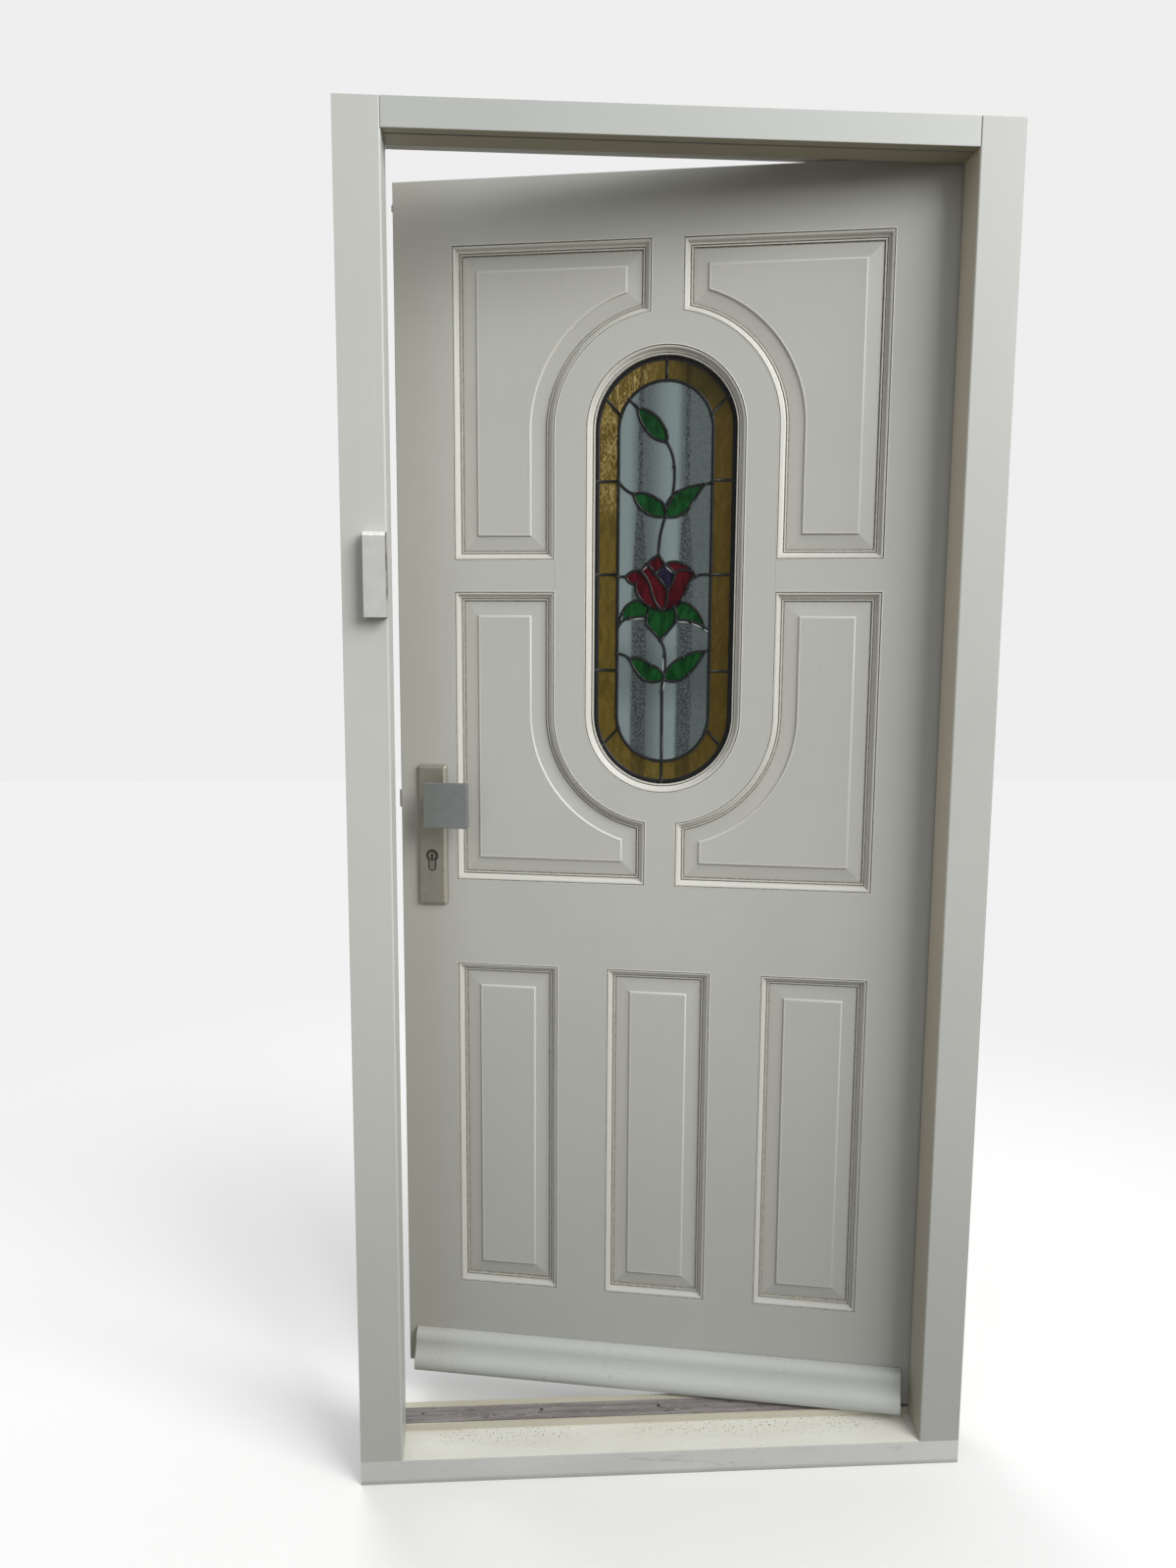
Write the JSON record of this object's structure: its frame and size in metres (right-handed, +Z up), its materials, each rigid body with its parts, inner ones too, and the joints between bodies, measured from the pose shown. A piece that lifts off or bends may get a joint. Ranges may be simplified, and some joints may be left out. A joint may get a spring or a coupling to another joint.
{
  "type": "panelled front door with frame",
  "caption": "Panelled front door standing ajar in its timber frame, with an oval leaded light, raised panels, weatherboard, long lever plate and square pull knob.",
  "frame": {"origin": "middle of the frame's width and depth, on the underside of the sill", "axes": "+X to the right seen from outside, +Y into the building, +Z up"},
  "size_m": [0.986, 0.3501, 2.105],
  "materials": {
    "frame_paint": "timber with weathered pale greige paint",
    "sill_paint": "timber with weathered pale paint and dirt",
    "leaf_paint": "timber with satin warm greige paint",
    "threshold_metal": "weathered grey metal",
    "screw_steel": "plain steel",
    "seal_rubber": "soft dark seal",
    "lock_steel": "plain satin steel",
    "hinge_steel": "plain satin steel",
    "satin_furniture": "worn satin bronze-grey metal",
    "knob_metal": "darker satin grey metal",
    "cylinder_metal": "nickel-plated brass",
    "lead": "dark lead",
    "amber_glass": "streaky amber cathedral glass",
    "grey_glass": "textured pale grey-blue glass",
    "green_glass": "dark green glass",
    "red_glass": "dark red glass",
    "violet_glass": "dark violet glass",
    "clear_glass": "plain clear glass",
    "spacer_metal": "plain"
  },
  "bodies": {
    "frame": {"jamb_latch_side": "frame_paint", "jamb_hinge_side": "frame_paint", "head_rail": "frame_paint", "sill": "sill_paint", "threshold_strip": "threshold_metal", "threshold_screws": "screw_steel", "weather_seal": "seal_rubber", "jamb_block": "frame_paint", "strike_plate": "lock_steel", "strike_screws": "screw_steel", "hinge_frame_flaps": "hinge_steel", "hinge_pins": "hinge_steel", "hinge_frame_screws": "screw_steel"},
    "leaf": {"latch_stile": "leaf_paint", "latch_edge_lipping": "leaf_paint", "hinge_stile": "leaf_paint", "top_rail": "leaf_paint", "lock_rail": "leaf_paint", "bottom_rail": "leaf_paint", "cross_rail_left": "leaf_paint", "cross_rail_right": "leaf_paint", "muntin_top": "leaf_paint", "muntin_below_light": "leaf_paint", "light_ring": "leaf_paint", "muntin_low_left": "leaf_paint", "muntin_low_right": "leaf_paint", "panel_upper_left": "leaf_paint", "panel_upper_right": "leaf_paint", "panel_middle_left": "leaf_paint", "panel_middle_right": "leaf_paint", "panel_low_left": "leaf_paint", "panel_low_middle": "leaf_paint", "panel_low_right": "leaf_paint", "weatherboard": "leaf_paint", "glazing_bead": "leaf_paint", "hinge_leaf_screws": "screw_steel", "lock_screws": "screw_steel", "plate_screws": "screw_steel", "lock_case": "lock_steel", "lock_faceplate": "lock_steel", "edge_lug": "lock_steel", "hinge_leaf_flaps": "hinge_steel", "backplate_outside": "satin_furniture", "backplate_inside": "satin_furniture", "outside_knob": "knob_metal", "cylinder_body": "cylinder_metal", "lead_cames": "lead", "glass_border": "amber_glass", "glass_field": "grey_glass", "glass_leaves": "green_glass", "glass_petals": "red_glass", "glass_heart": "violet_glass", "inner_pane": "clear_glass", "glazing_spacer": "spacer_metal"},
    "lever": {"inside_lever": "satin_furniture", "follower": "lock_steel"},
    "latch": {"latch_bolt": "lock_steel"},
    "bolt": {"deadbolt": "lock_steel"},
    "key_plug": {"cylinder_plug": "cylinder_metal", "cylinder_cam": "cylinder_metal"}
  },
  "joints": [
    {"name": "leaf_hinge", "type": "hinge", "parent": "frame", "child": "leaf", "pos_m": [0.4415, 0.065, 1.082], "axis": [0, 0, -1], "range_deg": [-11.1, 88.9]},
    {"name": "lever_turn", "type": "hinge", "parent": "leaf", "child": "lever", "pos_m": [-0.36588, 0.24276, 1.0865], "axis": [0.1925, 0.9813, 0], "range_deg": [0, 40], "stiffness_Nm_per_rad": 2, "springref_deg": -20.05},
    {"name": "latch_slide", "type": "slide", "parent": "leaf", "child": "latch", "axis": [0.9813, -0.1925, 0], "range_m": [0, 0.012]},
    {"name": "plug_turn", "type": "hinge", "parent": "leaf", "child": "key_plug", "pos_m": [-0.37628, 0.18977, 0.9945], "axis": [0.1925, 0.9813, 0], "range_deg": [0, 360]},
    {"name": "bolt_slide", "type": "slide", "parent": "leaf", "child": "bolt", "axis": [-0.9813, 0.1925, 0], "range_m": [0, 0.02]}
  ],
  "couplings": [
    {"joint": "latch_slide", "follows": "lever_turn", "m_per_rad": 0.017189},
    {"joint": "plug_turn", "follows": "bolt_slide", "rad_per_m": 314.16}
  ]
}
